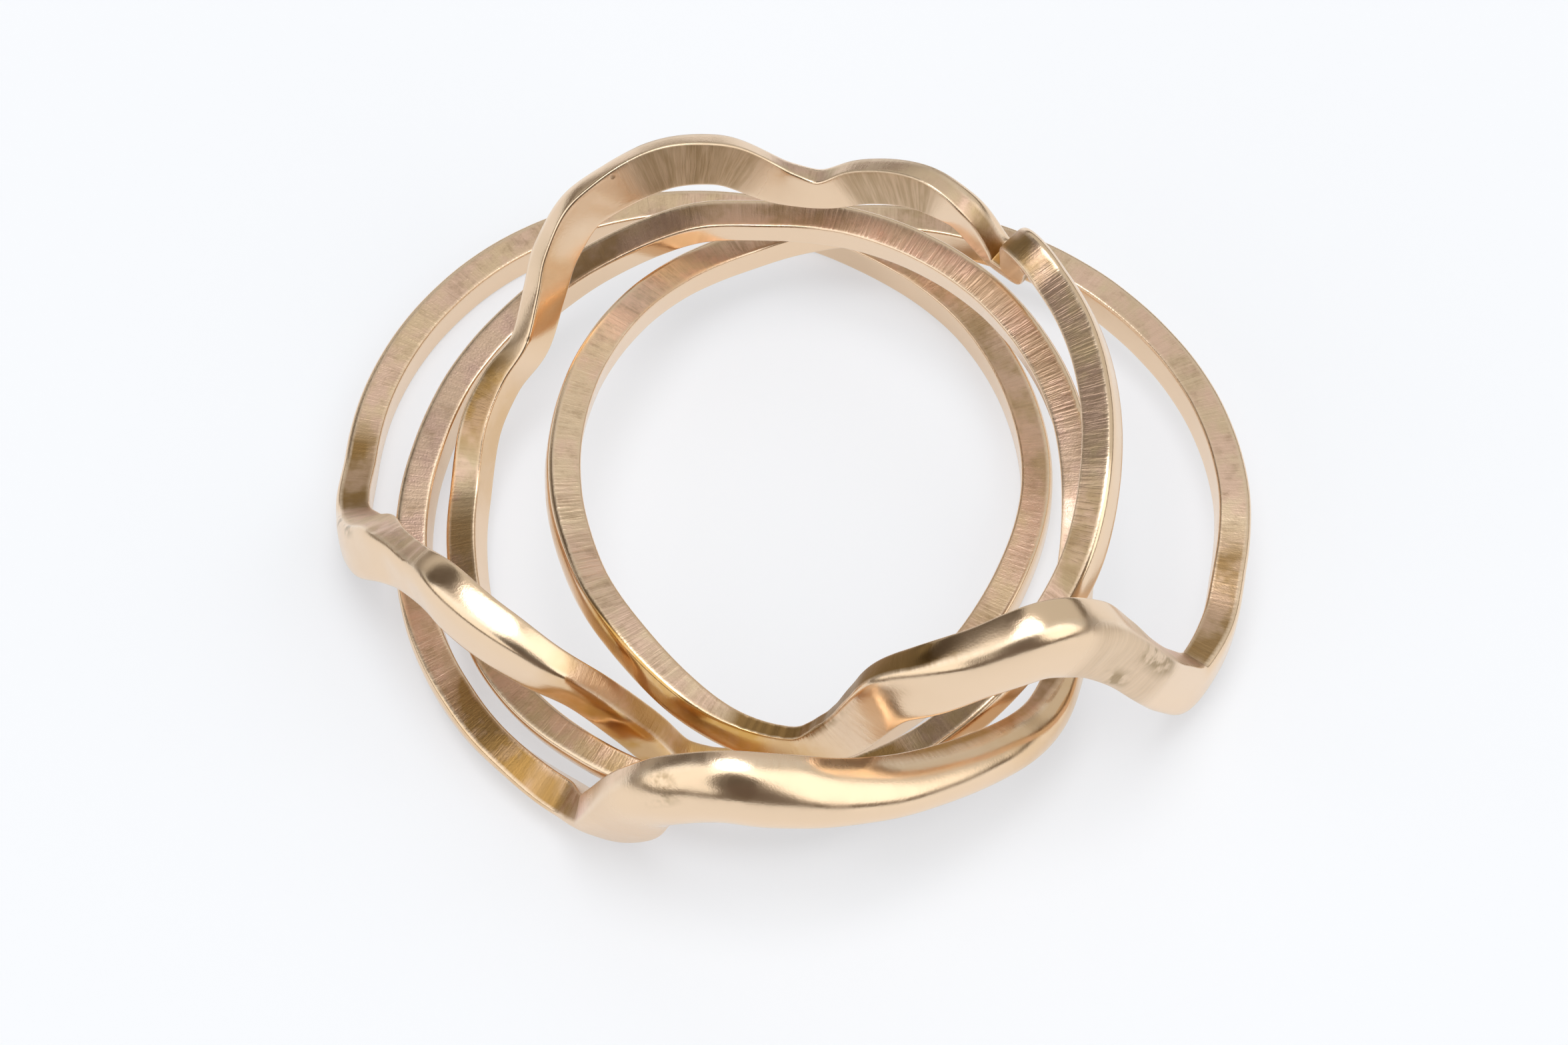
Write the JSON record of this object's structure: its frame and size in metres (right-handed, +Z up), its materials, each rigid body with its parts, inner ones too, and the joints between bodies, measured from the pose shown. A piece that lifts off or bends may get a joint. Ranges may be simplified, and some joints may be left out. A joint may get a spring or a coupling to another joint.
{
  "type": "puzzle ring",
  "caption": "Puzzle ring of narrow linked metal bands, taken apart and lying open, each band with its own bent knot that nests with the others to close the ring.",
  "frame": {"origin": "middle of the footprint of the four bands, on the surface they lie on", "axes": "+Z up from the surface; +X towards the band that lies farthest to the right; +Y away from the side where the domed knots are"},
  "size_m": [0.026, 0.024, 0.0097],
  "materials": {
    "rose_gold": "pinkish gold alloy, polished and lightly worn inside and outside, sides left with fine cross file marks"
  },
  "bodies": {
    "root": {"bottom_band": "rose_gold", "right_band": "rose_gold", "middle_band": "rose_gold", "top_band": "rose_gold"}
  },
  "joints": []
}
